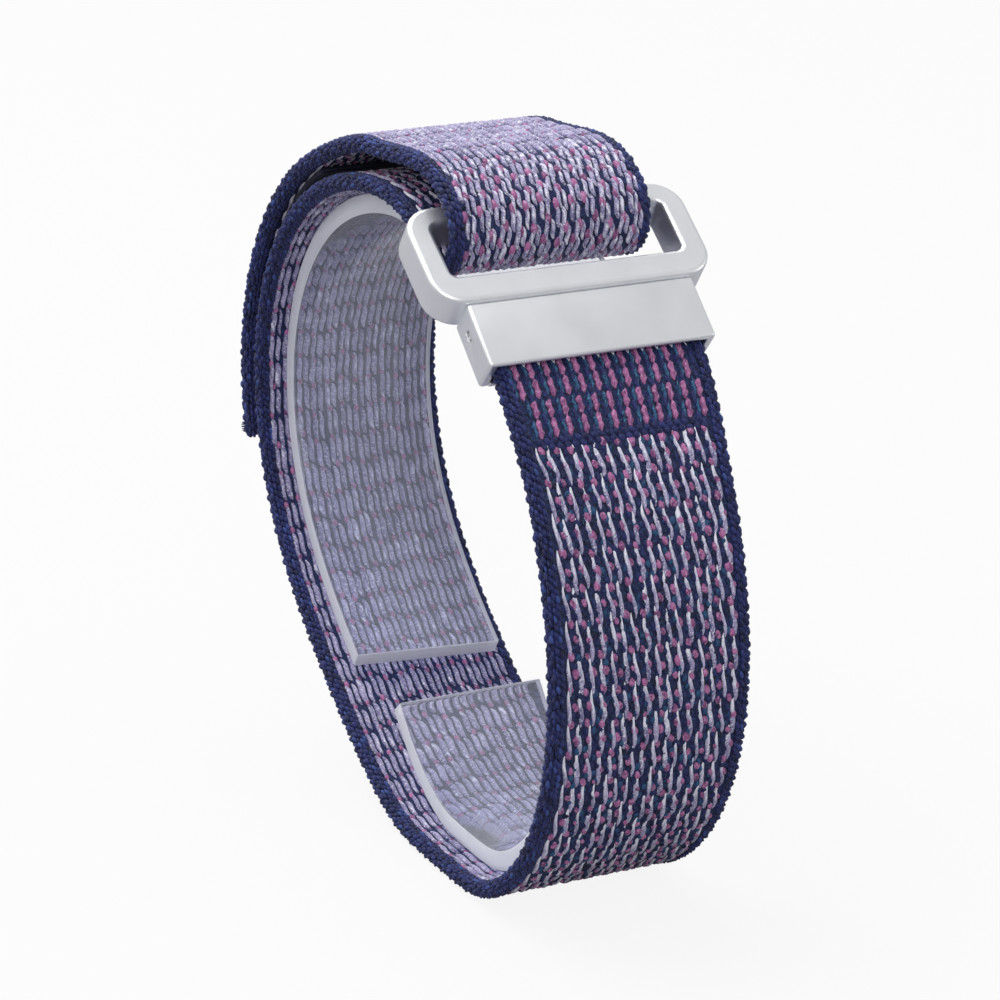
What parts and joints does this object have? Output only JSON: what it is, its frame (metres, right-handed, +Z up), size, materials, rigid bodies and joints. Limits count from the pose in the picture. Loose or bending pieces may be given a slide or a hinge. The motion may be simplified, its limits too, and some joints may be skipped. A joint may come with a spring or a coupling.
{
  "type": "fabric watch strap",
  "caption": "Woven fabric watch strap closed in a loop: the band turns round a flat metal ring buckle, folds back and fastens on itself; a clear collar holds the loop open.",
  "frame": {"origin": "middle of the footprint, on the surface that the loop stands on", "axes": "X across the strap's width, -Y out of the buckle side, +Z up"},
  "size_m": [0.0284, 0.0724, 0.0706],
  "materials": {
    "woven_nylon": "woven nylon, navy ground with lilac and pink floats",
    "hook_tape": "dark hook tape",
    "seam_thread": "polyester sewing thread",
    "satin_metal": "satin blasted stainless steel",
    "spring_steel": "plain turned steel",
    "clear_plastic": "clear sheet plastic"
  },
  "bodies": {
    "band": {"strap_band": "woven_nylon", "end_seam_front": "seam_thread", "end_seam_back": "seam_thread"},
    "tail_front": {"strap_tail_front": "woven_nylon"},
    "tail_middle": {"strap_tail_middle": "woven_nylon", "hook_strip_middle": "hook_tape"},
    "tail_end": {"strap_tail_end": "woven_nylon", "hook_strip_end": "hook_tape", "tail_end_binding": "woven_nylon"},
    "buckle": {"buckle_ring": "satin_metal", "end_housing": "satin_metal", "housing_back_plate": "satin_metal", "spring_bar_tube": "spring_steel", "bar_spring": "spring_steel"},
    "plunger_near": {"plunger_near": "spring_steel"},
    "plunger_far": {"plunger_far": "spring_steel"},
    "collar": {"display_collar": "clear_plastic"}
  },
  "joints": [
    {"name": "tail_lift", "type": "hinge", "parent": "band", "child": "tail_front", "pos_m": [0, -0.01396, 0.06857], "axis": [1, 0, 0], "range_deg": [0, 110]},
    {"name": "tail_peel_middle", "type": "hinge", "parent": "tail_front", "child": "tail_middle", "pos_m": [0, 0.0169, 0.06602], "axis": [1, 0, 0], "range_deg": [0, 60]},
    {"name": "tail_peel_end", "type": "hinge", "parent": "tail_middle", "child": "tail_end", "pos_m": [0, 0.03209, 0.05322], "axis": [1, 0, 0], "range_deg": [0, 60]},
    {"name": "buckle_tilt", "type": "hinge", "parent": "band", "child": "buckle", "pos_m": [0, -0.02125, 0.05664], "axis": [1, 0, 0], "range_deg": [-2.5, 2.5]},
    {"name": "plunger_near_press", "type": "slide", "parent": "buckle", "child": "plunger_near", "axis": [1, 0, 0], "range_m": [0, 0.0006], "stiffness_N_per_m": 300, "springref_m": -0.0005, "deforming": ["bar_spring"]},
    {"name": "plunger_far_press", "type": "slide", "parent": "buckle", "child": "plunger_far", "axis": [-1, 0, 0], "range_m": [0, 0.0006], "stiffness_N_per_m": 300, "springref_m": -0.0005, "deforming": ["bar_spring"]},
    {"name": "collar_slide", "type": "slide", "parent": "band", "child": "collar", "axis": [-1, 0, 0], "range_m": [0, 0.024]}
  ]
}
